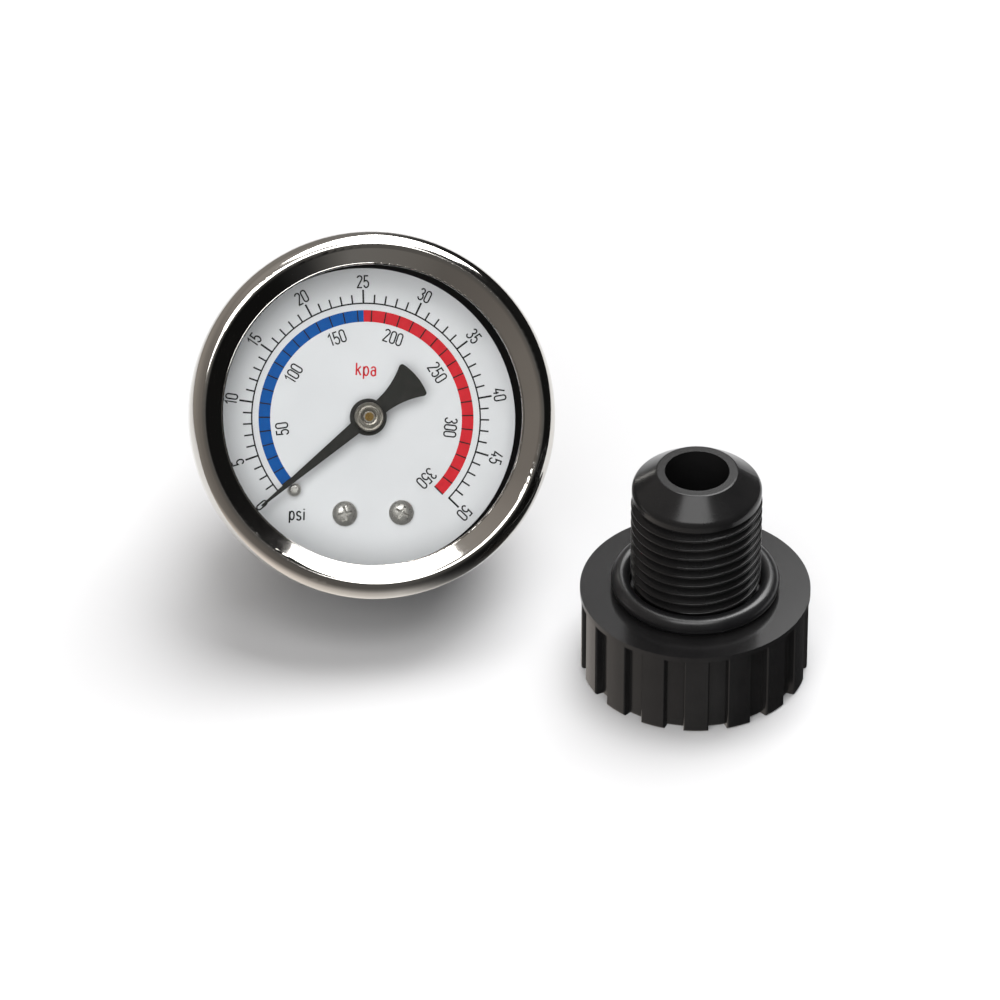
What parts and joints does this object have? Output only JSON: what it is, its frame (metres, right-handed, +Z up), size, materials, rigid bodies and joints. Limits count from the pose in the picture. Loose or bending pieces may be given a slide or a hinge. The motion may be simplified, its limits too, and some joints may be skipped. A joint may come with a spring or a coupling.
{
  "type": "pressure gauge with threaded adapter",
  "caption": "Round dial pressure gauge with a rolled metal bezel and a rear threaded stem, beside a black ribbed threaded adapter with an O-ring.",
  "frame": {"origin": "centre of the footprint, on the floor both pieces stand on", "axes": "+Z up, +X to the right of the dial with the adapter at its right, the dial faces -Y and up"},
  "size_m": [0.0957, 0.0868, 0.0588],
  "materials": {
    "case_paint": "satin",
    "bezel_steel": "polished",
    "glass": "clear",
    "gasket_rubber": "matte",
    "steel_screw": "bright",
    "brass": "machined",
    "dial_enamel": "matte",
    "pointer_black": "matte",
    "nickel": "bright",
    "tube_bronze": "drawn",
    "spring_bronze": "bright",
    "adapter_plastic": "satin",
    "seal_rubber": "satin"
  },
  "bodies": {
    "gauge": {"case_shell": "case_paint", "bezel_ring": "bezel_steel", "window": "glass", "window_gasket": "gasket_rubber", "vent_plug": "gasket_rubber", "case_screws": "steel_screw", "socket": "brass", "socket_seal": "gasket_rubber", "restrictor": "brass", "dial_plate": "dial_enamel", "dial_screws": "steel_screw", "stop_pin": "nickel", "bourdon_tube": "tube_bronze", "movement_back_plate": "brass", "movement_front_plate": "brass", "movement_pillars": "brass", "movement_screws": "steel_screw", "hairspring": "spring_bronze", "hairspring_stud": "brass"},
    "pointer_group": {"pointer": "pointer_black", "pointer_hub": "nickel", "pinion_arbor": "brass", "hairspring_collet": "brass"},
    "sector": {"sector_gear": "brass", "sector_arbor": "steel_screw", "link_pin": "steel_screw"},
    "link": {"link": "nickel"},
    "tube_end": {"tube_tip": "brass", "tip_pin": "steel_screw"},
    "adapter": {"adapter_body": "adapter_plastic", "adapter_o_ring": "seal_rubber"}
  },
  "joints": [
    {"name": "pointer_turn", "type": "hinge", "parent": "gauge", "child": "pointer_group", "pos_m": [-0.01825, 0.0073, 0.03167], "axis": [0, 0.7642, -0.6449], "range_deg": [0, 263.5], "stiffness_Nm_per_rad": 0.0002, "springref_deg": -11.46, "deforming": ["hairspring"]},
    {"name": "sector_turn", "type": "hinge", "parent": "gauge", "child": "sector", "pos_m": [-0.01023, 0.0092, 0.0212], "axis": [0, -0.7642, 0.6449], "range_deg": [0, 40.59]},
    {"name": "link_swing", "type": "hinge", "parent": "sector", "child": "link", "pos_m": [-0.00644, 0.00719, 0.02053], "axis": [0, 0.7642, -0.6449], "range_deg": [0, 40.59]},
    {"name": "tip_turn", "type": "hinge", "parent": "gauge", "child": "tube_end", "pos_m": [-0.02523, 0.01623, 0.02953], "axis": [0, -0.7642, 0.6449], "range_deg": [0, 8.36], "deforming": ["bourdon_tube"]},
    {"name": "adapter_lift", "type": "slide", "parent": "gauge", "child": "adapter", "axis": [0, 0, 1], "range_m": [0, 0.06]}
  ],
  "couplings": [
    {"joint": "sector_turn", "follows": "pointer_turn", "ratio": 0.15385},
    {"joint": "link_swing", "follows": "pointer_turn", "ratio": 0.15385},
    {"joint": "tip_turn", "follows": "pointer_turn", "ratio": 0.031666}
  ]
}
